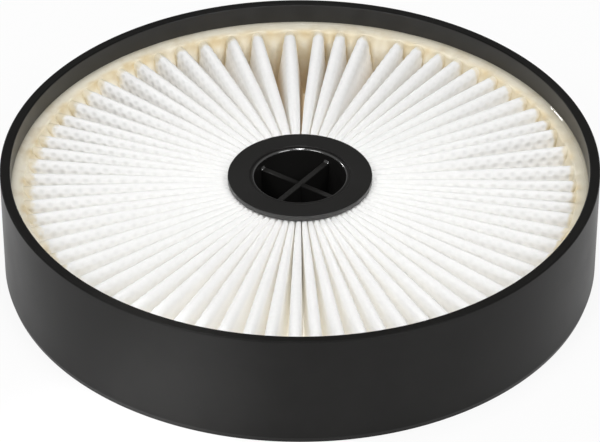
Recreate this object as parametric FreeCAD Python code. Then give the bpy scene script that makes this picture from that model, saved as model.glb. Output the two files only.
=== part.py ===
"""Round pleated exhaust filter for a vacuum cleaner.

A short moulded ring holds a disc of radially pleated filter media. A cast bead of
sealant bonds the outer ends of the pleats to the ring, and a two-piece hub clamps
their inner ends. Millimetres, +Z up, origin at the centre of the ring's foot.
"""
import FreeCAD
import Part
import math
import os

from FreeCAD import Vector

# Ring
RING_DIAMETER = 180.0
RING_WALL = 3.15
RIM_RISE = 7.5            # rim above the pleat tips
RIM_CHAMFER = 0.4
FOOT_BEVEL_HEIGHT = 1.8
FOOT_BEVEL_DEPTH = 0.5
LEDGE_WIDTH = 4.4         # inward lip that carries the sealant
LEDGE_THICKNESS = 2.4

# Pleated media
PLEAT_COUNT = 70
PLEAT_DEPTH = 24.3
PLEAT_LIFT = 2.1          # pleat bottoms above the ledge
MEDIA_THICKNESS = 0.5
PACKED_GAP = 0.526        # free width per pleat where the pleats crowd round the hub
TIGHT_CREASE = 0.05       # inside radius of a fold at the hub
OPEN_CREASE = 0.7         # inside radius of a fold at the ring
RIDGE_MARKS_DEG = {       # ridges that are set by hand, of the 70 that close the turn at the last mark
    0: 4.8, 1: 12.2, 2: 19.0, 3: 22.5, 6: 38.2, 12: 67.5, 13: 75.8, 15: 85.8, 16: 92.3, 17: 99.6,
    20: 117.6, 27: 154.5, 30: 168.0, 43: 232.6, 50: 269.0, 51: 273.5, 52: 278.4, 55: 292.5,
    60: 317.2, 66: 347.4, 69: 359.1, 70: 364.8,
}
UNEVEN_DEG = 0.3          # the others stand between the marks, never quite regular
UNEVEN_STEP = 2.4         # radians per pleat, never in step with the count
CROWD_REACH = 2.0         # neighbours on each side that a ridge evens out with at the hub

# Sealant
SEALANT_THICKNESS = 3.55
SEALANT_CLIMB = 1.0       # sealant above the pleat tips, at the wall
SEALANT_DIP = 0.3         # sealant below the pleat tips, at its inner edge
SEALANT_CHAMFER = 0.6
SEALANT_HOLLOW = 0.25     # share of the climb that is left at mid width
HUB_SEALANT = 1.4
BOND_FILM = 0.05          # clearance between glued pieces

# Hub
FLANGE_OVERLAP = 4.8      # flange beyond the pleats' inner ends
FLANGE_THICKNESS = 1.75
FLANGE_CHAMFER = 0.3
TUBE_WALL = 1.8
MOUTH_STEP_WIDTH = 1.25
MOUTH_STEP_DEPTH = 0.3
MOUTH_CHAMFER = 0.8
WEB_THICKNESS = 1.9
WEB_DROP = 3.3            # top of the cross web below the flange
WEB_ANGLE_DEG = 54.5
WEB_GUSSET = 0.7
SPIGOT_HEIGHT = 6.0
SPIGOT_WALL = 1.6
SPIGOT_CLEARANCE = 0.05
SPIGOT_LEAD_IN = 0.5
WEB_TO_SPIGOT = 0.3

LEVEL = 1e-6              # heights closer than this are one level
NEAR = 1e-3               # an edge closer than this to a surface lies on it

# Heights and radii that follow from the sizes above
valley_z = LEDGE_THICKNESS + PLEAT_LIFT
ridge_z = valley_z + PLEAT_DEPTH
ring_height = ridge_z + RIM_RISE
ring_radius = RING_DIAMETER / 2
wall_radius = ring_radius - RING_WALL
sealant_radius = wall_radius - SEALANT_THICKNESS
media_outer_radius = sealant_radius - BOND_FILM
media_inner_radius = PLEAT_COUNT * (2 * MEDIA_THICKNESS + PACKED_GAP) / (2 * math.pi)
hub_sealant_radius = media_inner_radius * math.cos(math.pi / PLEAT_COUNT) - BOND_FILM
tube_radius = media_inner_radius - HUB_SEALANT
bore_radius = tube_radius - TUBE_WALL
flange_radius = media_inner_radius + FLANGE_OVERLAP
flange_bottom_z = ridge_z + BOND_FILM
flange_top_z = flange_bottom_z + FLANGE_THICKNESS
cap_top_z = valley_z - BOND_FILM
cap_bottom_z = cap_top_z - FLANGE_THICKNESS
web_top_z = flange_top_z - WEB_DROP
web_bottom_z = cap_top_z + SPIGOT_HEIGHT + WEB_TO_SPIGOT


def at(radius, z):
    """Point of a turned profile, in the XZ plane."""
    return Vector(radius, 0, z)


def broken(corner, start_side, end_side, size):
    """The two points of a chamfer at a square corner.

    The sides are unit vectors (radius, z) that point from the corner along its two legs.
    """
    return corner + at(*start_side) * size, corner + at(*end_side) * size


def turned(points):
    """Solid of revolution about Z from the corners of a closed profile."""
    face = Part.Face(Part.makePolygon(points + points[:1]))
    return face.revolve(Vector(0, 0, 0), Vector(0, 0, 1), 360)


def make_outer_ring():
    """Plain drum wall with a broken rim, a bevelled foot and an inward ledge."""
    ledge_radius = wall_radius - LEDGE_WIDTH
    return turned([
        at(ledge_radius, 0),
        at(ring_radius - FOOT_BEVEL_DEPTH, 0),
        at(ring_radius, FOOT_BEVEL_HEIGHT),
        *broken(at(ring_radius, ring_height), (0, -1), (-1, 0), RIM_CHAMFER),
        *broken(at(wall_radius, ring_height), (1, 0), (0, -1), RIM_CHAMFER),
        at(wall_radius, LEDGE_THICKNESS),
        at(ledge_radius, LEDGE_THICKNESS),
    ])


def make_edge_sealant():
    """Cast bead on the ledge; its top is a hollow that climbs the wall."""
    lip_z = ridge_z - SEALANT_DIP
    climb_z = ridge_z + SEALANT_CLIMB
    lip = broken(at(sealant_radius, lip_z), (0, -1), (1, 0), SEALANT_CHAMFER)
    hollow = at((lip[1].x + wall_radius) / 2, lip_z + (climb_z - lip_z) * SEALANT_HOLLOW)
    return turned([
        at(wall_radius, climb_z),
        at(wall_radius, LEDGE_THICKNESS),
        at(sealant_radius, LEDGE_THICKNESS),
        *lip,
        hollow,
    ])


def ridge_angles():
    """Angles of the pleat ridges at the ring, in radians."""
    marked = sorted(RIDGE_MARKS_DEG)
    angles = []
    for ridge in range(PLEAT_COUNT):
        place = ridge * marked[-1] / PLEAT_COUNT
        before = max(mark for mark in marked if mark <= place)
        after = min(mark for mark in marked if mark > place)
        start = RIDGE_MARKS_DEG[before]
        even = start + (RIDGE_MARKS_DEG[after] - start) * (place - before) / (after - before)
        uneven = 0 if place == before else UNEVEN_DEG * math.sin(UNEVEN_STEP * place)
        angles.append(math.radians(even + uneven))
    return angles


def crowded(angles):
    """Angles of the same ridges at the hub, where crowding evens out the gaps between them.

    A ridge takes the mean of its neighbours within reach, and the last one counts in part where
    the reach ends before the next.
    """
    full = 2 * math.pi
    around = [angle + full * lap for lap in (-1, 0, 1) for angle in angles]
    furthest = math.ceil(CROWD_REACH)
    steps = range(-furthest, furthest + 1)
    shares = [min(1, CROWD_REACH + 1 - abs(step)) for step in steps]
    evened = []
    for number in range(PLEAT_COUNT, 2 * PLEAT_COUNT):
        total = sum(share * around[number + step] for step, share in zip(steps, shares))
        evened.append(total / sum(shares))
    return evened


def pleat_section(first, second, crease):
    """One pleat, from ridge to ridge, across the sheet at one end of the media.

    first and second are the plan positions of the two ridges, and crease is the inside
    radius of the folds. Each fold is a flat crown and a shoulder around that radius, and
    the panels are tangent to it. Returns the corners of the upper skin and of the lower
    skin, both from the first ridge to the second.
    """
    half = (second - first).Length / 2
    middle = (first + second) * 0.5
    along = (second - first).normalize()
    fold = crease + MEDIA_THICKNESS
    reach = math.hypot(half / 2, PLEAT_DEPTH / 2 - fold)
    lean = math.acos((fold - MEDIA_THICKNESS / 2) / reach) - math.atan2(PLEAT_DEPTH / 2 - fold, half / 2)
    turn = math.pi / 2 - lean
    crown = fold * math.tan(turn / 4)
    corner = fold / math.cos(turn / 4)
    shoulder = corner * math.cos(lean + turn / 4)
    drop = fold - corner * math.sin(lean + turn / 4)
    flat = crease * math.tan(turn / 2)

    def skin(profile):
        return [middle + along * u + Vector(0, 0, z) for u, z in profile]

    upper_half = [
        (-half, ridge_z),
        (-half + crown, ridge_z),
        (-half + shoulder, ridge_z - drop),
        (-flat, valley_z + MEDIA_THICKNESS),
    ]
    lower_half = [
        (-half, ridge_z - MEDIA_THICKNESS),
        (-half + flat, ridge_z - MEDIA_THICKNESS),
        (-shoulder, valley_z + drop),
        (-crown, valley_z),
    ]
    upper = upper_half + [(-u, z) for u, z in reversed(upper_half)]
    lower = lower_half + [(-u, z) for u, z in reversed(lower_half)]
    return skin(upper), skin(lower)


def polygon(*corners):
    return Part.Face(Part.makePolygon(list(corners) + [corners[0]]))


def strip(inner_start, inner_end, outer_end, outer_start):
    """Faces of the sheet between two neighbouring fold lines.

    A level strip is one flat face. A sloping one has fold lines that are not parallel, and
    paper can't twist, so it is creased from its low inner corner to its high outer corner.
    """
    if abs(inner_start.z - inner_end.z) < LEVEL:
        return [polygon(inner_start, inner_end, outer_end, outer_start)]
    if inner_start.z < inner_end.z:
        return [polygon(inner_start, inner_end, outer_end), polygon(inner_start, outer_end, outer_start)]
    return [polygon(inner_start, inner_end, outer_start), polygon(inner_end, outer_end, outer_start)]


def make_pleated_media():
    """One sheet folded into pleats that crowd at the hub and fan out to the ring."""
    outer_angles = ridge_angles()
    inner_angles = crowded(outer_angles)

    def section(radius, angles, crease, number):
        plan = [Vector(radius * math.cos(angle), radius * math.sin(angle), 0) for angle in angles]
        return pleat_section(plan[number], plan[(number + 1) % PLEAT_COUNT], crease)

    faces = []
    for number in range(PLEAT_COUNT):
        inner = section(media_inner_radius, inner_angles, TIGHT_CREASE, number)
        outer = section(media_outer_radius, outer_angles, OPEN_CREASE, number)
        for inner_skin, outer_skin in zip(inner, outer):
            for i in range(len(inner_skin) - 1):
                faces += strip(inner_skin[i], inner_skin[i + 1], outer_skin[i + 1], outer_skin[i])
        for upper, lower in (inner, outer):
            faces.append(polygon(*upper, *lower[::-1]))
    sheet = Part.makeCompound(faces)
    sheet.sewShape()
    solid = Part.makeSolid(sheet.Shells[0])
    if solid.Volume < 0:
        solid.reverse()
    return solid


def make_hub():
    """Flanged tube with a stepped, chamfered mouth and a sunken cross web to grip."""
    mouth_radius = bore_radius + MOUTH_STEP_WIDTH
    step_z = flange_top_z - MOUTH_STEP_DEPTH
    body = turned([
        at(bore_radius, cap_top_z),
        at(tube_radius, cap_top_z),
        at(tube_radius, flange_bottom_z),
        at(flange_radius, flange_bottom_z),
        *broken(at(flange_radius, flange_top_z), (0, -1), (-1, 0), FLANGE_CHAMFER),
        at(mouth_radius, flange_top_z),
        at(mouth_radius, step_z),
        *broken(at(bore_radius, step_z), (1, 0), (0, -1), MOUTH_CHAMFER),
    ])
    reach = bore_radius + TUBE_WALL / 2
    blade = Part.makeBox(
        2 * reach,
        WEB_THICKNESS,
        web_top_z - web_bottom_z,
        Vector(-reach, -WEB_THICKNESS / 2, web_bottom_z),
    )
    for quarter in (0, 90):
        web = blade.copy()
        web.rotate(Vector(0, 0, 0), Vector(0, 0, 1), WEB_ANGLE_DEG + quarter)
        body = body.fuse(web)
    body = body.removeSplitter()
    ends = [edge for edge in body.Edges if is_web_end(edge)]
    return body.makeChamfer(WEB_GUSSET, ends)


def is_web_end(edge):
    """True for the short edges where the top of the web runs into the bore."""
    box = edge.BoundBox
    level = abs(box.ZMin - web_top_z) < NEAR and abs(box.ZMax - web_top_z) < NEAR
    middle = edge.valueAt((edge.FirstParameter + edge.LastParameter) / 2)
    return level and abs(math.hypot(middle.x, middle.y) - bore_radius) < NEAR


def make_hub_cap():
    """Blind flange under the pleats; its spigot plugs the tube and closes the hub."""
    spigot_radius = bore_radius - SPIGOT_CLEARANCE
    spigot_top_z = cap_top_z + SPIGOT_HEIGHT
    return turned([
        at(0, cap_bottom_z),
        *broken(at(flange_radius, cap_bottom_z), (-1, 0), (0, 1), FLANGE_CHAMFER),
        at(flange_radius, cap_top_z),
        at(spigot_radius, cap_top_z),
        at(spigot_radius, spigot_top_z - SPIGOT_LEAD_IN),
        at(spigot_radius - SPIGOT_LEAD_IN, spigot_top_z),
        at(spigot_radius - SPIGOT_WALL, spigot_top_z),
        at(spigot_radius - SPIGOT_WALL, cap_top_z),
        at(0, cap_top_z),
    ])


def make_hub_sealant():
    """Sleeve of sealant between the tube and the crowded pleats, from flange to flange."""
    return turned([
        at(tube_radius, cap_top_z),
        at(hub_sealant_radius, cap_top_z),
        at(hub_sealant_radius, flange_bottom_z),
        at(tube_radius, flange_bottom_z),
    ])


def main():
    pieces = {
        "outer_ring": make_outer_ring(),
        "edge_sealant": make_edge_sealant(),
        "pleated_media": make_pleated_media(),
        "hub": make_hub(),
        "hub_cap": make_hub_cap(),
        "hub_sealant": make_hub_sealant(),
    }
    os.makedirs("parts", exist_ok=True)
    for name, shape in pieces.items():
        shape.exportStep(f"parts/{name}.step")
        print(f"{name}: {len(shape.Solids)} solid, {shape.Volume / 1000:.2f} cm3, valid {shape.isValid()}")


main()
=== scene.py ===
"""Looks of the round pleated vacuum filter: plastic ring and hub, embossed media, cast sealant."""

import math

import bmesh
import bpy
import numpy as np
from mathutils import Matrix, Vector, noise


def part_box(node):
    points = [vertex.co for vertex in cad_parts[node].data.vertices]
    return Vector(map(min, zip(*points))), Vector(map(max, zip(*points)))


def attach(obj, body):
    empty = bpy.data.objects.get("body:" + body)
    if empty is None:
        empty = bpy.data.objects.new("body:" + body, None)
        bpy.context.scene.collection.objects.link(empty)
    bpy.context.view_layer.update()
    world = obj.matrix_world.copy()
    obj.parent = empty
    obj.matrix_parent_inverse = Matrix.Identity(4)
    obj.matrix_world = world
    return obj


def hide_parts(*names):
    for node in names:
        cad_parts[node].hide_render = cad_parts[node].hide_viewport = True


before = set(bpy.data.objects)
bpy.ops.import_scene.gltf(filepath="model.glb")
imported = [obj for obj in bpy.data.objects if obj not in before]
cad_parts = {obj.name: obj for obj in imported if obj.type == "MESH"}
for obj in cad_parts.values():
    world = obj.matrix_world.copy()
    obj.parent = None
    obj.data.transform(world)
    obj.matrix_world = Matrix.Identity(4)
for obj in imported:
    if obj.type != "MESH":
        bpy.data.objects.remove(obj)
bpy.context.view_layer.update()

MM = 0.001

# Camera, from the photograph's perspective: image 600 by 442
CAMERA_Y = -853.1 * MM
CAMERA_Z = 627.4 * MM
CAMERA_DOWN_DEG = 35.747
CAMERA_LENS = 207.4

# Stage: places and sizes in metres, powers in watts
LAMPS = (
    ("left_softbox", (-0.75, -0.82, 1.08), (0.6, 0.5), 5.3),
    ("right_softbox", (0.75, -0.82, 1.08), (0.6, 0.5), 5.3),
    ("top_softbox", (0, 0, 1.2), (0.16, 0.35), 4.5),        # on the axis, to shine down every gap
    ("front_softbox", (0, -0.95, 1.1), (0.14, 0.4), 2.2),
    ("back_strip", (-1.0, 0.7, 0.7), (0.1, 0.3), 2.2),
)
POOL_WATTS = 40.0
POOL_CONE_DEG = 8
POOL_SOFTNESS = 0.02
POOL_PLACE = (-0.1, -0.17, 0.6)
POOL_AIM = (-0.054, -0.106, 0)
WORLD_LEVELS = (0.22, 0.32)  # near the horizon and overhead
FLOOR_HALF = 3.0
FLOOR_GREY = (0.82, 0.82, 0.82, 1)
FLOOR_WHITE = 0.9            # share of plain white in what is seen of the floor
LIGHT_BOUNCES = 48           # white pleats pass light on many times

# Turned plastic
TURN_SEGMENTS = 288
EDGE_ROUND = 0.35 * MM
RIM_ROUND = 0.15 * MM
ROUND_STEPS = 4
RING_WALL_RADIUS = 86.85 * MM
WALL_MARGIN = 0.1 * MM       # past the inside wall, within which a face still belongs to it
PLASTIC_TONES = ((0.013, 0.0126, 0.012), (0.017, 0.0166, 0.016))
SCUFF_TONE = (0.05, 0.049, 0.047, 1)

# Hub
BORE_RADIUS = 13.8 * MM
TUBE_RADIUS = 15.6 * MM
MOUTH_RADIUS = 15.05 * MM
MOUTH_STEP = 0.3 * MM
MOUTH_ROUND = 0.6 * MM
FLANGE_THICKNESS = 1.75 * MM
WEB_THICKNESS = 1.9 * MM
WEB_DROP = 3.3 * MM
WEB_ANGLE_DEG = 54.5
WEB_HEIGHT = 16.5 * MM
WEB_ROUND = 0.35 * MM
WEB_GUSSET = 0.7 * MM
WEB_SINK = 0.5 * MM          # into the tube's wall

# Media
MEDIA_THICKNESS = 0.5 * MM
TIGHT_CREASE = 0.05 * MM     # inside radius of a fold at the hub
OPEN_CREASE = 0.7 * MM       # of the solid's folds at the ring
RIDGE_ROUND = 1.8 * MM       # outside radius of the broadest ridges
HUB_FULLNESS = 0.88          # ridge radius as a share of half a pleat's width
RING_FULLNESS = 0.48
VALLEY_CREASE = 0.3 * MM     # of the sharper valleys at the ring
END_SINK = 2.2 * MM          # pleat ends that stand in the sealant
RIDGE_WANDER = 0.12 * MM
WANDER_SEED = 7
LENGTH_STEPS = 72
UNDERSIDE_STEPS = 6
MEDIA_WHITES = ((0.87, 0.868, 0.858, 1), (0.90, 0.899, 0.892, 1))
PAINTED_GAP_LIGHT = ((0.985, 0.982, 0.972, 1), (0.985, 0.980, 0.966, 1))  # painted light: whites in a gap, and deep in it
# grey of the pits: partly the bonded dots' own tone, partly painted shade in the pits
PIT_TONE_AND_SHADE = (0.76, 0.76, 0.75, 1)
# painted shade deep in the valleys at the back
BACK_VALLEY_SHADE_TONE = (0.70, 0.60, 0.44, 1)

# Embossing of the media
EMBOSS_REPEATS = 18          # along a pleat, so four steps to a repeat
EMBOSS_ROW = 1.83 * MM       # between staggered rows across a pleat, counted from the crest
EMBOSS_STAGGER = 0.5         # of a repeat, between neighbouring pleats
EMBOSS_DRIFT = 0.06          # of a repeat, from each pleat to the next
EMBOSS_AT_HUB = 0.3          # share of the depth at the ring
EMBOSS_START = 20            # how steeply it sets in from each end, over the share of the length
STATION_ROWS = (0, 0.5, 1, 1.5, 2, 3, 4)
STATION_DEPTHS = (0.65, 1.0)
PIT_DEPTH = 0.15 * MM
BUMP_HEIGHT = 0.06 * MM
BETWEEN_PITS = 0.25          # place in a repeat that has neither pit nor bump

# Sealant soaked into the pleats
SOAK_REACH = 3.4 * MM        # inside the bead
SOAK_UNEVEN = 0.35           # share that it gains at one side and loses at the other
SOAK_SIDE_DEG = 165
SOAK_TONES = ((0.70, 0.62, 0.45, 1), (0.84, 0.78, 0.64, 1))

# Sealant bead: falls are in mm below its top, and the top's points are shares of its width
BEAD_STEPS_PER_PLEAT = 16
BEAD_GAP = 0.05 * MM         # outside the solid's pleat ends
BEAD_FILLET = 2.4 * MM       # in each valley, inward from the bead
BEAD_TOP = (
    (1.0, 0.0), (0.96, 0.35), (0.86, 0.62), (0.70, 0.82), (0.52, 1.0),
    (0.34, 1.15), (0.18, 1.3), (0.07, 1.45), (0.0, 1.75),
)
BEAD_FALLS = (2.3, 3.2, 4.2, 5.5, 8.0, 12.0, 17.0, 22.0)
DEEP_FALL = 20               # where the bead has its deepest colour
LIP_AT_PLEAT = 0.75          # rise of the lip in mm, at a pleat and between pleats
LIP_BETWEEN = -0.15
LIP_BETWEEN_LEFT = 0.8       # more of it between the pleats at the left
STAIN_REACH = 1.8 * MM       # on both sides of the lip
WALL_REACH = 3.5 * MM        # of painted shade, from the ring's wall
WALL_REACH_RIGHT = 0.9 * MM  # more of it at the right
# side where the bead is painted lighter, the opposite side painted in shade
PAINTED_LIGHT_SIDE_DEG = 185
STAIN_SIDE_DEG = 110
BEAD_WARM = ((0.765, 0.705, 0.555, 1), (0.835, 0.78, 0.64, 1))
BEAD_PALE = (0.91, 0.855, 0.71, 1)
BEAD_TAN = ((0.74, 0.60, 0.36, 1), (0.83, 0.73, 0.52, 1))
BEAD_DEEP = (0.60, 0.53, 0.41, 1)
BEAD_STREAK = (0.70, 0.60, 0.42, 1)
# painted shade along the ring's wall
WALL_SHADE_TONE = (0.02, 0.018, 0.014, 1)


def link_piece(name, vertices, faces, looks, replaced):
    """New smooth mesh piece on the one body, standing for a CAD node."""
    mesh = bpy.data.meshes.new(name)
    mesh.from_pydata([tuple(v) for v in vertices], [], faces)
    face_outward(mesh)
    mesh.shade_smooth()
    for look in looks:
        mesh.materials.append(look)
    piece = bpy.data.objects.new(name, mesh)
    bpy.context.scene.collection.objects.link(piece)
    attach(piece, "root")
    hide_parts(replaced)
    return piece


def face_outward(mesh):
    shell = bmesh.new()
    shell.from_mesh(mesh)
    bmesh.ops.recalc_face_normals(shell, faces=shell.faces)
    shell.to_mesh(mesh)
    shell.free()


def flat_stay_flat(piece):
    """Weights normals by area, so that small rounds don't shade the flats beside them."""
    piece.modifiers.new("Weighted normals", "WEIGHTED_NORMAL").keep_sharp = True


def store(piece, name, values):
    attribute = piece.data.attributes.new(name, "FLOAT", "POINT")
    attribute.data.foreach_set("value", np.asarray(values, np.float32))


def clamped(value):
    return max(0.0, min(1.0, value))


# Shader nodes
def new_look(name):
    look = bpy.data.materials.new(name)
    look.use_nodes = True
    tree = look.node_tree
    return look, tree, tree.nodes["Principled BSDF"]


def plug(tree, value, socket):
    """Links an input from another node's socket, or sets it to a value."""
    if isinstance(value, bpy.types.NodeSocket):
        tree.links.new(value, socket)
    else:
        socket.default_value = value


def fill(tree, node, **inputs):
    """Plugs each keyword into the input of that name, with spaces written as _."""
    for key, value in inputs.items():
        plug(tree, value, node.inputs[key.replace("_", " ")])


def add(tree, kind, **inputs):
    node = tree.nodes.new(kind)
    fill(tree, node, **inputs)
    return node


def maths(tree, operation, a, b=0.0):
    node = tree.nodes.new("ShaderNodeMath")
    node.operation = operation
    for socket, value in zip(node.inputs, (a, b)):
        plug(tree, value, socket)
    return node.outputs[0]


def times(tree, product, *factors):
    for factor in factors:
        product = maths(tree, "MULTIPLY", product, factor)
    return product


def ramp(tree, value, low, high, out_low=0.0, out_high=1.0):
    node = add(tree, "ShaderNodeMapRange", Value=value, From_Min=low, From_Max=high)
    fill(tree, node, To_Min=out_low, To_Max=out_high)
    return node.outputs["Result"]


def mixed(tree, factor, a, b):
    """Colour mix of two colours or colour sockets."""
    node = tree.nodes.new("ShaderNodeMix")
    node.data_type = "RGBA"
    sockets = {s.identifier: s for s in node.inputs}
    for name, value in (("Factor_Float", factor), ("A_Color", a), ("B_Color", b)):
        plug(tree, value, sockets[name])
    return next(s for s in node.outputs if s.identifier == "Result_Color")


def cloud(tree, place, scale, detail=3.0, roughness=0.5):
    node = add(tree, "ShaderNodeTexNoise", Vector=place, Scale=scale, Detail=detail, Roughness=roughness)
    return node.outputs["Fac"]


def blotched(tree, place, scale, tones, detail=3.0):
    """Two tones in soft blotches."""
    return mixed(tree, ramp(tree, cloud(tree, place, scale, detail), 0.35, 0.65), *tones)


def object_place(tree):
    return tree.nodes.new("ShaderNodeTexCoord").outputs["Object"]


def axes(tree, place):
    return add(tree, "ShaderNodeSeparateXYZ", Vector=place).outputs


def attribute(tree, name):
    node = tree.nodes.new("ShaderNodeAttribute")
    node.attribute_name = name
    return node.outputs["Fac"]


def bump(tree, shader, height, distance, strength):
    node = add(tree, "ShaderNodeBump", Height=height, Distance=distance, Strength=strength)
    fill(tree, shader, Normal=node.outputs["Normal"])


# Materials
def plastic_look(name, gloss, smoothest=0.30, roughest=0.40, coat=0.0, shade=1.0):
    """Satin black moulding: fine grain, faint flow marks, a few scuffs that catch light; a shade below 1
    darkens the base colour as painted shade.
    """
    look, tree, shader = new_look(name)
    place = object_place(tree)
    flow = cloud(tree, place, 45.0, 4.0, 0.6)
    grain = cloud(tree, place, 2600.0, 2.0)
    scuff = ramp(tree, cloud(tree, place, 700.0, 6.0, 0.75), 0.66, 0.74)
    dark, light = ([level * shade for level in tone] + [1] for tone in PLASTIC_TONES)
    base = mixed(tree, ramp(tree, flow, 0.3, 0.7), dark, light)
    colour = mixed(tree, times(tree, scuff, 0.5), base, SCUFF_TONE)
    rough = ramp(tree, flow, 0.2, 0.8, smoothest, roughest)
    fill(tree, shader, Base_Color=colour, Roughness=rough, Specular_IOR_Level=gloss)
    fill(tree, shader, Coat_Weight=coat, Coat_IOR=2.0, Coat_Roughness=0.08)
    bump(tree, shader, grain, 0.02 * MM, 0.35)
    return look


def staggered_pits(tree):
    """1 in the middle of each pit and 0 between them, on two grids half a cell apart."""
    along = maths(tree, "PINGPONG", attribute(tree, "along"), 0.5)
    across = maths(tree, "PINGPONG", attribute(tree, "across"), 0.5)
    other_along = maths(tree, "SUBTRACT", 0.5, along)
    other_across = maths(tree, "SUBTRACT", 0.5, across)
    pits = []
    for a, b in ((along, across), (other_along, other_across)):
        squares = maths(tree, "ADD", times(tree, a, a), times(tree, b, b))
        pits.append(maths(tree, "SQRT", squares))
    nearest = maths(tree, "MINIMUM", *pits)
    node = add(tree, "ShaderNodeMapRange", Value=nearest, From_Min=0.36, From_Max=0.0)
    node.interpolation_type = "SMOOTHSTEP"
    below_crest = ramp(tree, attribute(tree, "across"), 0.2, 0.4)
    return times(tree, node.outputs["Result"], below_crest)


def clear_pits(tree, place, x, y):
    """The pits, plainest at the ring, at the sides and at the back, and faint at the back right."""
    away = tree.nodes.new("ShaderNodeVectorMath")
    away.operation = "LENGTH"
    plug(tree, place, away.inputs[0])
    outward = ramp(tree, away.outputs["Value"], 25 * MM, 85 * MM, 0.3, 1.0)
    sideways = ramp(tree, maths(tree, "ABSOLUTE", x), 15 * MM, 55 * MM, 0.2, 1.0)
    backward = ramp(tree, y, -50 * MM, 10 * MM, 0.2, 1.0)
    back_right = ramp(tree, maths(tree, "MINIMUM", x, y), 15 * MM, 40 * MM, 1.0, 0.4)
    pit_strength = times(tree, outward, times(tree, sideways, backward), back_right)
    return times(tree, staggered_pits(tree), pit_strength)


def media_look():
    """White nonwoven: fibres, pits pressed by the embossing, sealant soaked into the outer ends; painted
    light whitens the gaps, painted shade greys the pits and browns the deep valleys at the back.
    """
    look, tree, shader = new_look("white_filter_media")
    place = object_place(tree)
    x, y, z = axes(tree, place)
    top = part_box("pleated_media")[1].z
    sunk = attribute(tree, "sunk")
    pit = clear_pits(tree, place, x, y)
    white = mixed(tree, ramp(tree, cloud(tree, place, 900.0, 4.0, 0.6), 0.3, 0.7), *MEDIA_WHITES)
    # painted light: the whites are lifted where the sheet lies sunk in a gap
    white = mixed(tree, ramp(tree, sunk, 0.05, 0.5), white, PAINTED_GAP_LIGHT[0])
    white = mixed(tree, ramp(tree, sunk, 0.6, 1.6), white, PAINTED_GAP_LIGHT[1])
    # pits greyed: partly their own tone, partly painted shade
    dotted = mixed(tree, times(tree, pit, 0.9), white, PIT_TONE_AND_SHADE)
    # painted shade: brown darkening 9 to 18 mm below the top, at the back only
    back_valley_shade = times(tree, ramp(tree, z, top - 9 * MM, top - 18 * MM), ramp(tree, y, 0, 40 * MM))
    back_valley_shaded = mixed(tree, back_valley_shade, dotted, BACK_VALLEY_SHADE_TONE)
    uneven = ramp(tree, cloud(tree, place, 420.0), 0.3, 0.7, -0.2, 0.2)
    ragged = maths(tree, "ADD", attribute(tree, "soak"), uneven)
    soaked = blotched(tree, place, 60.0, SOAK_TONES)
    colour = mixed(tree, ramp(tree, ragged, 0.25, 0.65), back_valley_shaded, soaked)
    fill(tree, shader, Base_Color=colour, Roughness=0.85, Specular_IOR_Level=0.2)
    fibres = cloud(tree, place, 3800.0, 3.0, 0.7)
    height = maths(tree, "SUBTRACT", times(tree, fibres, 0.18), pit)
    bump(tree, shader, height, 0.28 * MM, 0.8)
    return look


def sealant_look():
    """Cream cast sealant: pale on top, tan where it is deep or thin, softly glossy and lumpy; painted
    shade darkens it by the ring's wall, painted light makes it paler at the left.
    """
    look, tree, shader = new_look("cream_sealant")
    place = object_place(tree)
    wall = attribute(tree, "wall")
    warm = blotched(tree, place, 90.0, BEAD_WARM, 4.0)
    cream = mixed(tree, attribute(tree, "pale"), warm, BEAD_PALE)
    colour = mixed(tree, attribute(tree, "depth"), cream, BEAD_DEEP)
    streaks = times(tree, ramp(tree, cloud(tree, place, 160.0, 4.0, 0.6), 0.48, 0.66), 0.55)
    streaked = mixed(tree, streaks, colour, BEAD_STREAK)
    stained = mixed(tree, attribute(tree, "stain"), streaked, blotched(tree, place, 300.0, BEAD_TAN))
    # painted shade: darkens the bead near the ring's wall
    wall_shade = times(tree, maths(tree, "POWER", wall, 3.0), 0.6)
    wall_shaded = mixed(tree, wall_shade, stained, WALL_SHADE_TONE)
    rightward = ramp(tree, axes(tree, place)["X"], 30 * MM, 60 * MM)
    smooth = times(tree, ramp(tree, wall, 0.76, 0.92, 0.0, 0.92), rightward)
    lumpy = maths(tree, "SUBTRACT", 1.0, smooth)
    rough = times(tree, ramp(tree, cloud(tree, place, 250.0), 0.3, 0.7, 0.28, 0.5), lumpy)
    gloss = maths(tree, "ADD", smooth, 0.5)
    fill(tree, shader, Base_Color=wall_shaded, Roughness=rough, Specular_IOR_Level=gloss)
    bump(tree, shader, times(tree, cloud(tree, place, 600.0, 3.0), lumpy), 0.25 * MM, 0.5)
    return look


# Turned pieces
def corners_of(node):
    """Corners (radius, height) of a turned CAD node's section, in order round it."""
    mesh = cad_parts[node].data
    keys = [(round(math.hypot(v.co.x, v.co.y), 5), round(v.co.z, 5)) for v in mesh.vertices]
    beside = {}
    for edge in mesh.edges:
        a, b = (keys[i] for i in edge.vertices)
        if a != b:
            beside.setdefault(a, set()).add(b)
            beside.setdefault(b, set()).add(a)
    order = [min(beside)]
    while True:
        ahead = [key for key in sorted(beside[order[-1]]) if key not in order]
        if not ahead:
            return order
        order.append(ahead[0])


def rounded(corners, radius):
    """Closed section with each corner replaced by a small curve that stays within its two legs."""
    points = []
    for i, corner in enumerate(corners):
        here = Vector(corner)
        legs = [Vector(corners[i - 1]) - here, Vector(corners[(i + 1) % len(corners)]) - here]
        start, end = (leg.normalized() * min(radius, 0.45 * leg.length) for leg in legs)
        for step in range(ROUND_STEPS + 1):
            t = step / ROUND_STEPS
            points.append(here + start * (1 - t) ** 2 + end * t ** 2)
    return points


def swept_faces(turns, count):
    """Faces between the turns of a closed section of some points, all the way round."""
    faces = []
    for i in range(turns):
        first, second = i * count, (i + 1) % turns * count
        for j in range(count):
            k = (j + 1) % count
            faces.append((first + j, first + k, second + k, second + j))
    return faces


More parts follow.
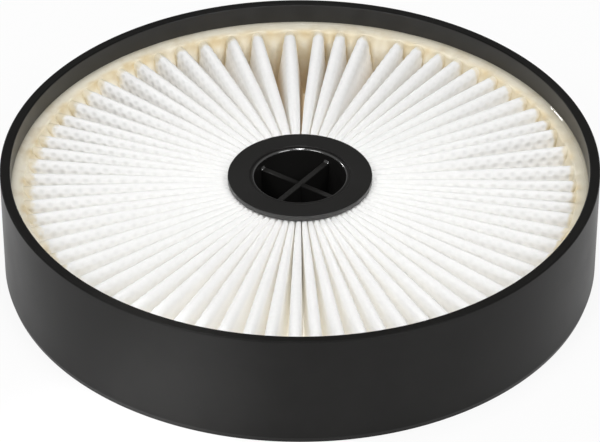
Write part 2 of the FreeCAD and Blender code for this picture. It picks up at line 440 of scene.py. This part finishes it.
def turned(section):
    """Vertices and faces of a closed section swept round Z."""
    vertices = []
    for i in range(TURN_SEGMENTS):
        angle = 2 * math.pi * i / TURN_SEGMENTS
        for radius, z in section:
            vertices.append((radius * math.cos(angle), radius * math.sin(angle), z))
    return vertices, swept_faces(TURN_SEGMENTS, len(section))


def make_ring(look, inner_look, rim_look):
    """Drum ring; its inside wall, untouched by hands, is the glossier, and its rim the duller and darker
    with painted shade.
    """
    vertices, faces = turned(rounded(corners_of("outer_ring"), RIM_ROUND))
    looks = (look, inner_look, rim_look)
    ring = link_piece("ring", vertices, faces, looks, "outer_ring")
    for face in ring.data.polygons:
        inside = face.center.xy.length < RING_WALL_RADIUS + WALL_MARGIN
        face.material_index = 1 if inside else 2 if face.normal.z > 0.7 else 0
    flat_stay_flat(ring)


def make_hub(*looks):
    """Flanged tube and cross web; looks are for most of it, its side, its edges and its inside, which has
    painted shade.
    """
    low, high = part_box("hub")
    vertices, faces = turned(hub_section(low.z, high.z, high.x))
    reach = web_reach()
    whole = [(-out, rise) for out, rise in reach[::-1]] + reach
    half = [(WEB_THICKNESS / 2 - WEB_ROUND, 0.0)] + reach
    for quarter, stations in ((0, whole), (90, half), (270, half)):
        first = len(vertices)
        angle = math.radians(WEB_ANGLE_DEG + quarter)
        web_vertices, web_faces = web(high.z - WEB_DROP, angle, stations)
        vertices += web_vertices
        faces += [tuple(first + i for i in face) for face in web_faces]
    hub = link_piece("hub_detail", vertices, faces, looks, "hub")
    for face in hub.data.polygons:
        face.material_index = hub_look(face.center.xy.length, face.normal.z, high.x)
    flat_stay_flat(hub)


def hub_section(bottom, top, flange):
    """Section of the flanged tube, with a stepped mouth that rounds over into the bore."""
    under = top - FLANGE_THICKNESS
    step = top - MOUTH_STEP
    section = rounded([
        (BORE_RADIUS, bottom),
        (TUBE_RADIUS, bottom),
        (TUBE_RADIUS, under),
        (flange, under),
        (flange, top),
        (MOUTH_RADIUS + MOUTH_STEP, top),
        (MOUTH_RADIUS, step),
    ], EDGE_ROUND)
    mouth = Vector((BORE_RADIUS, step))
    for i in range(ROUND_STEPS * 2 + 1):
        turn = math.pi / 2 * i / (ROUND_STEPS * 2)
        section.append(mouth + Vector((1 - math.sin(turn), math.cos(turn) - 1)) * MOUTH_ROUND)
    return [tuple(p) for p in section]


def hub_look(radius, rise, flange):
    """Number of the look for a face at some radius whose normal rises so much."""
    if radius > flange - EDGE_ROUND and abs(rise) < 0.8:
        return 1
    if BORE_RADIUS - WEB_GUSSET < radius < BORE_RADIUS + MOUTH_ROUND and 0.15 < rise < 0.97:
        return 2
    # inside the bore: the look with painted shade
    if radius < BORE_RADIUS and abs(rise) < 0.5:
        return 3
    return 0


def web_reach():
    """Stations of a blade from its plain run to the wall, each its reach and the rise of its gusset."""
    stations = []
    for i in range(ROUND_STEPS + 1):
        turn = math.pi / 2 * (1 - i / ROUND_STEPS)
        reach = BORE_RADIUS - WEB_GUSSET * (1 - math.cos(turn))
        stations.append((reach, WEB_GUSSET * (1 - math.sin(turn))))
    return stations + [(BORE_RADIUS + WEB_SINK, WEB_GUSSET)]


def web(top, angle, stations):
    """One blade of the cross, swept through its stations."""
    half = WEB_THICKNESS / 2
    bottom = top - WEB_HEIGHT
    section = rounded([(-half, bottom), (half, bottom), (half, top), (-half, top)], WEB_ROUND)
    vertices = []
    for reach, rise in stations:
        for across, z in section:
            lift = rise if z > top - WEB_HEIGHT / 2 else 0.0
            vertices.append((
                reach * math.cos(angle) - across * math.sin(angle),
                reach * math.sin(angle) + across * math.cos(angle),
                z + lift,
            ))
    count = len(section)
    faces = []
    for i in range(len(stations) - 1):
        for j in range(count):
            k = (j + 1) % count
            faces.append((i * count + j, i * count + k, (i + 1) * count + k, (i + 1) * count + j))
    faces.append(tuple(range(count))[::-1])
    faces.append(tuple((len(stations) - 1) * count + j for j in range(count)))
    return vertices, faces


# Pleats
def ridge_ends(nearest, farthest, first=0.0):
    """Plan positions of the pleat ridges' ends between two radii, by angle on from the first."""
    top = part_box("pleated_media")[1].z
    points = [v.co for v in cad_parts["pleated_media"].data.vertices if v.co.z > top - 1e-6]
    points = [p.xy for p in points if nearest < p.xy.length < farthest]
    outermost = max(p.length for p in points)
    ends = {}
    for p in points:
        if p.length > outermost - 1e-6:
            ends[round((math.atan2(p.y, p.x) - first) % (2 * math.pi), 4)] = p
    return np.array([ends[angle] for angle in sorted(ends)])


def pleats(inner, outer, share):
    """Along each valley, from its ridge k to the next: middle line, half width and way across."""
    for k in range(len(outer)):
        n = (k + 1) % len(outer)
        a = inner[k] + (outer[k] - inner[k]) * share[:, None]
        b = inner[n] + (outer[n] - inner[n]) * share[:, None]
        half = np.linalg.norm(b - a, axis=1) / 2
        yield (a + b) / 2, half, (b - a) / (2 * half)[:, None]


def laid(middle, direction, across, z):
    """Column of points beside a valley's middle line."""
    points = np.empty((len(middle), 3))
    points[:, :2] = middle + direction * across[:, None]
    points[:, 2] = z
    return points


def panel_lean(half, ridge, valley, depth):
    """Lean of the upper skin's panels that touch a ridge and a valley of those radii."""
    drop = depth - ridge - valley
    touching = (ridge + valley - MEDIA_THICKNESS) / np.hypot(half, drop)
    return np.arccos(touching) - np.arctan2(drop, half)


def half_pleat(half, ridge, valley, ridge_z, valley_z):
    """Upper skin of half a pleat, ridge to valley.

    Each station has its place across, its height, its normal, its row of the embossing, counted
    from the crest, and whether the row falls on it.
    """
    lean = panel_lean(half, ridge, valley, ridge_z - valley_z)
    arc = ridge * (np.pi / 2 - lean)
    inside = valley - MEDIA_THICKNESS
    run = half - (ridge + inside) * np.cos(lean)
    drop = ridge_z - valley_z - ridge - valley + (ridge + inside) * np.sin(lean)
    length = np.hypot(run, drop)

    def station(path, embossed):
        """Point at some length of path from the crest, round the fold and down the panel."""
        turn = np.pi / 2 - np.minimum(path, arc) / ridge
        share = np.maximum(path - arc, 0) / length
        across = -half + ridge * np.cos(turn) + run * share
        z = ridge_z - ridge + ridge * np.sin(turn) - drop * share
        return across, z, np.cos(turn), np.sin(turn), path / EMBOSS_ROW, embossed

    stations = []
    for row in STATION_ROWS:
        stations.append(station(EMBOSS_ROW * row + 0 * half, row >= 1 and row == int(row)))
    return stations + [station(arc + length * share, False) for share in STATION_DEPTHS]


def upper_skin(inner, outer, valley_z, ridge_z):
    """Columns of points of the embossed skin, and the values that the look reads there."""
    count = len(outer)
    share = np.linspace(0.0, 1.0, LENGTH_STEPS + 1)
    fullness = HUB_FULLNESS + (RING_FULLNESS - HUB_FULLNESS) * share
    valley_fold = MEDIA_THICKNESS + TIGHT_CREASE + (VALLEY_CREASE - TIGHT_CREASE) * share
    fade = np.clip(np.minimum(share, 1 - share) * EMBOSS_START, 0, 1)
    fade = fade * (EMBOSS_AT_HUB + (1 - EMBOSS_AT_HUB) * share)
    sag = np.random.default_rng(WANDER_SEED).uniform(0, 2, count) * RIDGE_WANDER
    shift = EMBOSS_STAGGER * (np.arange(count) % 2) + EMBOSS_DRIFT * np.arange(count)
    columns = []
    values = {"along": [], "across": [], "sunk": []}
    for k, (middle, half, direction) in enumerate(pleats(inner, outer, share)):
        ridge_fold = np.minimum(fullness * half, RIDGE_ROUND)
        for side, ridge in ((1, k), (-1, (k + 1) % count)):
            stations = half_pleat(half, ridge_fold, valley_fold, ridge_z - sag[ridge] * share, valley_z)
            if side > 0:
                bottom = np.full_like(share, valley_z + MEDIA_THICKNESS)
                stations.append((np.zeros_like(share), bottom, 0.0, 1.0, stations[-1][4], False))
            else:
                stations = stations[:0:-1]
            along = EMBOSS_REPEATS * share + shift[ridge]
            for across, z, normal_across, normal_z, row, embossed in stations:
                rise = np.zeros_like(share)
                if embossed:
                    crest = np.cos(2 * np.pi * (along + row / 2)) * fade
                    rise = np.where(crest > 0, -PIT_DEPTH, -BUMP_HEIGHT) * crest
                height = np.minimum(z + rise * normal_z, ridge_z)
                columns.append(laid(middle, direction, side * (across + rise * normal_across), height))
                values["along"].append(along)
                values["across"].append(np.zeros_like(share) + row / 2)
                values["sunk"].append((ridge_z - z) / (2 * half))
    return columns, values


def lower_skin(inner, outer, valley_z, ridge_z):
    """Columns of points of the plain underside."""
    share = np.linspace(0.0, 1.0, UNDERSIDE_STEPS + 1)
    crease = TIGHT_CREASE + (OPEN_CREASE - TIGHT_CREASE) * share
    fold = crease + MEDIA_THICKNESS
    under_ridge = ridge_z - MEDIA_THICKNESS - 2 * RIDGE_WANDER * share
    low = np.full_like(share, valley_z)
    columns = []
    for middle, half, direction in pleats(inner, outer, share):
        lean = panel_lean(half, fold, fold, ridge_z - valley_z)
        turn = np.pi / 2 - lean
        crown = fold * np.tan(turn / 4)
        corner = fold / np.cos(turn / 4)
        shoulder = corner * np.cos(lean + turn / 4)
        drop = fold - corner * np.sin(lean + turn / 4)
        flat = crease * np.tan(turn / 2)
        for across, z in (
            (-half, under_ridge), (-half + flat, under_ridge), (-shoulder, low + drop), (-crown, low),
            (crown, low), (shoulder, low + drop), (half - flat, under_ridge),
        ):
            columns.append(laid(middle, direction, across, z))
    return columns


def skin_faces(columns, rows, base=0):
    """Faces between neighbouring columns of points, round to the first column again."""
    faces = []
    for i in range(columns):
        j = (i + 1) % columns
        for step in range(rows - 1):
            first, second = base + i * rows + step, base + j * rows + step
            faces.append((first, first + 1, second + 1, second))
    return faces


def end_faces(pleat_count, upper, lower, rows, lower_rows):
    """Cut ends of the sheet, one face to a pleat at the hub and one at the ring."""
    base = upper * rows
    per_pleat = upper // pleat_count
    under = lower // pleat_count
    faces = []
    for row, lower_row in ((0, 0), (rows - 1, lower_rows - 1)):
        for k in range(pleat_count):
            above = [(k * per_pleat + i) % upper * rows + row for i in range(per_pleat + 1)]
            below = [base + (k * under + i) % lower * lower_rows + lower_row for i in range(under + 1)]
            loop = above + below[::-1]
            faces.append(tuple(loop if row == 0 else loop[::-1]))
    return faces


def make_media(look):
    """One folded sheet: finely embossed above, plain below, closed at both ends."""
    low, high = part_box("pleated_media")
    outer = ridge_ends(0.5 * high.x, 2 * high.x)
    count = len(outer)
    first = math.atan2(outer[0][1], outer[0][0]) - math.pi / count
    inner = ridge_ends(0.0, 0.5 * high.x, first)
    edge = np.hypot(*outer[0])
    outer = outer * (edge + END_SINK) / edge
    upper, values = upper_skin(inner, outer, low.z, high.z)
    lower = lower_skin(inner, outer, low.z, high.z)
    vertices = np.concatenate(upper + lower)
    rows, lower_rows = len(upper[0]), len(lower[0])
    base = len(upper) * rows
    faces = skin_faces(len(upper), rows)
    faces += [(a, d, c, b) for a, b, c, d in skin_faces(len(lower), lower_rows, base)]
    faces += end_faces(count, len(upper), len(lower), rows, lower_rows)
    media = link_piece("media", vertices, faces, [look], "pleated_media")
    plain = np.full(len(vertices) - base, BETWEEN_PITS)
    for name, parts in values.items():
        store(media, name, np.concatenate(parts + [plain]))
    radius = np.hypot(vertices[:, 0], vertices[:, 1])
    angle = np.arctan2(vertices[:, 1], vertices[:, 0])
    reach = SOAK_REACH * (1 + SOAK_UNEVEN * np.cos(angle - math.radians(SOAK_SIDE_DEG)))
    store(media, "soak", np.clip((radius - edge + reach) / reach, 0, 1))


# Sealant
def bead_turns(ridges):
    """Angles round the bead, each with how far it lies between two pleats, from 0 to 1."""
    angles = np.sort(np.arctan2(ridges[:, 1], ridges[:, 0]) % (2 * np.pi))
    turns = []
    for start, end in zip(angles, np.append(angles[1:], angles[0] + 2 * np.pi)):
        for i in range(BEAD_STEPS_PER_PLEAT):
            t = i / BEAD_STEPS_PER_PLEAT
            turns.append((start + (end - start) * t, 0.5 - 0.5 * math.cos(2 * math.pi * t)))
    return turns


def ripple(direction, layer, scale):
    """Smooth noise round the bead."""
    return noise.noise(Vector((direction.x, direction.y, layer)) * scale)


def bead_section(direction, open_share, lump, small, inner, low, high):
    """Closed section of the bead: the radius, height and depth share of each point."""
    width = RING_WALL_RADIUS - inner
    left = max(0.0, -direction.x)
    between = LIP_BETWEEN + LIP_BETWEEN_LEFT * left
    lip_rise = LIP_AT_PLEAT * (1 - open_share) + between * open_share + 0.2 * small
    section = []
    for out, fall in BEAD_TOP:
        lip = (1 - out) ** 2
        grain = noise.noise(Vector((direction.x * 55, direction.y * 55, out * 3)))
        rise = lip * lip_rise + 0.12 * lump + (1 - out) * (0.12 + 0.2 * left) * grain
        scallop = lip * open_share * (0.25 + 0.2 * small)
        z = high + (rise - fall) * MM
        section.append((inner + width * out - scallop * MM, min(z, high), 0.0))
    for fall in BEAD_FALLS:
        spread = (0.75 + 1.1 * left + 0.5 * lump + 0.4 * small) * min(1.0, (fall - 1.5) / 4)
        fillet = BEAD_FILLET * open_share * max(0.1, spread)
        section.append((inner - fillet, high - fall * MM, min(fall / DEEP_FALL, 1.0)))
    return section + [(inner, low, 1.0), (RING_WALL_RADIUS, low, 1.0)]


def make_sealant(look):
    """Cast bead with a meniscus at the wall, a lumpy scalloped lip and a wall between the pleats."""
    low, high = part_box("edge_sealant")
    ridges = ridge_ends(0.5 * high.x, 2 * high.x)
    inner = np.hypot(*ridges[0]) + BEAD_GAP
    width = RING_WALL_RADIUS - inner
    turns = bead_turns(ridges)
    vertices = []
    values = {"depth": [], "stain": [], "pale": [], "wall": []}
    for theta, open_share in turns:
        direction = Vector((math.cos(theta), math.sin(theta)))
        lump = ripple(direction, 0, 9)
        small = ripple(direction, 3, 40)
        stain = ripple(direction, 5, 7) + 0.25 * math.cos(theta - math.radians(STAIN_SIDE_DEG))
        # painted light and shade: paler towards the left, darker at the right, with random lumps
        pale = 0.1 + math.cos(theta - math.radians(PAINTED_LIGHT_SIDE_DEG)) + 0.5 * lump + 0.5 * small
        wall_reach = WALL_REACH + WALL_REACH_RIGHT * max(0.0, direction.x) ** 4
        section = bead_section(direction, open_share, lump, small, inner, low.z, high.z)
        for radius, z, depth in section:
            vertices.append((radius * direction.x, radius * direction.y, z))
            inward = clamped((RING_WALL_RADIUS - radius) / width)
            near_lip = max(0.0, 1 - abs(radius - inner) / STAIN_REACH)
            values["depth"].append(depth)
            stained = (0.5 + 1.3 * stain) * near_lip * (0.3 + 1.1 * open_share)
            values["stain"].append(clamped(stained))
            # paler towards the lip: painted shade by the wall
            values["pale"].append(clamped(pale + 0.6 * inward ** 2))
            values["wall"].append(max(0.0, 1 - (RING_WALL_RADIUS - radius) / wall_reach))
    faces = swept_faces(len(turns), len(section))
    sealant = link_piece("sealant", vertices, faces, [look], "edge_sealant")
    for name, numbers in values.items():
        store(sealant, name, numbers)


# Pieces that stay as the CAD has them
def dress(node, look):
    """New material on a CAD node that stays as it is."""
    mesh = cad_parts[node].data
    mesh.materials.clear()
    mesh.materials.append(look)


# Stage
def make_floor():
    """Plain floor: pale where it is lit, mostly white where it is seen, with the object's shadow."""
    mesh = bpy.data.meshes.new("floor")
    corners = [(x * FLOOR_HALF, y * FLOOR_HALF, 0) for x, y in ((-1, -1), (1, -1), (1, 1), (-1, 1))]
    mesh.from_pydata(corners, [], [(0, 1, 2, 3)])
    look, tree, shader = new_look("white_floor")
    path = tree.nodes.new("ShaderNodeLightPath").outputs
    mirrored = maths(tree, "MAXIMUM", times(tree, path["Is Glossy Ray"], 0.5), path["Is Transmission Ray"])
    seen = maths(tree, "MAXIMUM", path["Is Camera Ray"], mirrored)
    fill(tree, shader, Base_Color=FLOOR_GREY, Roughness=0.9)
    white = add(tree, "ShaderNodeEmission", Color=(1, 1, 1, 1), Strength=1.0)
    blend = add(tree, "ShaderNodeMixShader", Fac=times(tree, seen, FLOOR_WHITE))
    plug(tree, shader.outputs["BSDF"], blend.inputs[1])
    plug(tree, white.outputs["Emission"], blend.inputs[2])
    fill(tree, tree.nodes["Material Output"], Surface=blend.outputs["Shader"])
    mesh.materials.append(look)
    floor = bpy.data.objects.new("floor", mesh)
    bpy.context.scene.collection.objects.link(floor)


def place_lamp(lamp, place, aim):
    holder = bpy.data.objects.new(lamp.name, lamp)
    holder.location = place
    holder.rotation_euler = (Vector(aim) - Vector(place)).to_track_quat("-Z", "Y").to_euler()
    bpy.context.scene.collection.objects.link(holder)


def make_light():
    """Softboxes aimed at the object, a faint pool on the floor and an even white world."""
    for name, place, size, watts in LAMPS:
        lamp = bpy.data.lights.new(name, "AREA")
        lamp.shape = "RECTANGLE"
        lamp.size, lamp.size_y = size
        lamp.energy = watts
        place_lamp(lamp, place, (0, 0, 0))
    pool = bpy.data.lights.new("floor_pool", "SPOT")
    pool.energy = POOL_WATTS
    pool.spot_size = math.radians(POOL_CONE_DEG)
    pool.spot_blend = 1.0
    pool.shadow_soft_size = POOL_SOFTNESS
    place_lamp(pool, POOL_PLACE, POOL_AIM)
    world = bpy.data.worlds.new("studio")
    world.use_nodes = True
    tree = world.node_tree
    height = axes(tree, tree.nodes.new("ShaderNodeTexCoord").outputs["Generated"])["Z"]
    level = ramp(tree, height, 0.1, 0.9, *WORLD_LEVELS)
    fill(tree, tree.nodes["Background"], Color=(1, 1, 1, 1), Strength=level)
    bpy.context.scene.world = world


def make_camera():
    data = bpy.data.cameras.new("camera")
    data.lens = CAMERA_LENS
    camera = bpy.data.objects.new("camera", data)
    camera.location = (0, CAMERA_Y, CAMERA_Z)
    camera.rotation_euler = (math.radians(90 - CAMERA_DOWN_DEG), 0, 0)
    bpy.context.scene.collection.objects.link(camera)
    bpy.context.scene.camera = camera


plastic = plastic_look("black_moulded_plastic", 0.14)
sealant = sealant_look()
glossy = plastic_look("black_glossy_plastic", 0.5)
# painted shade: darker base colour for the rim top, the bore and the hub cap
dull_shaded = plastic_look("black_dull_shaded_plastic", 0.05, shade=0.75)
satin = plastic_look("black_satin_side", 1.0)
polished = plastic_look("black_polished_edge", 0.9, 0.14, 0.22, 1.0)
make_ring(plastic, glossy, dull_shaded)
make_hub(plastic, satin, polished, dull_shaded)
make_media(media_look())
make_sealant(sealant)
dress("hub_cap", dull_shaded)
dress("hub_sealant", sealant)
make_floor()
make_light()
make_camera()
bpy.context.scene.view_settings.view_transform = "Standard"
bpy.context.scene.cycles.max_bounces = LIGHT_BOUNCES
bpy.context.scene.cycles.diffuse_bounces = LIGHT_BOUNCES
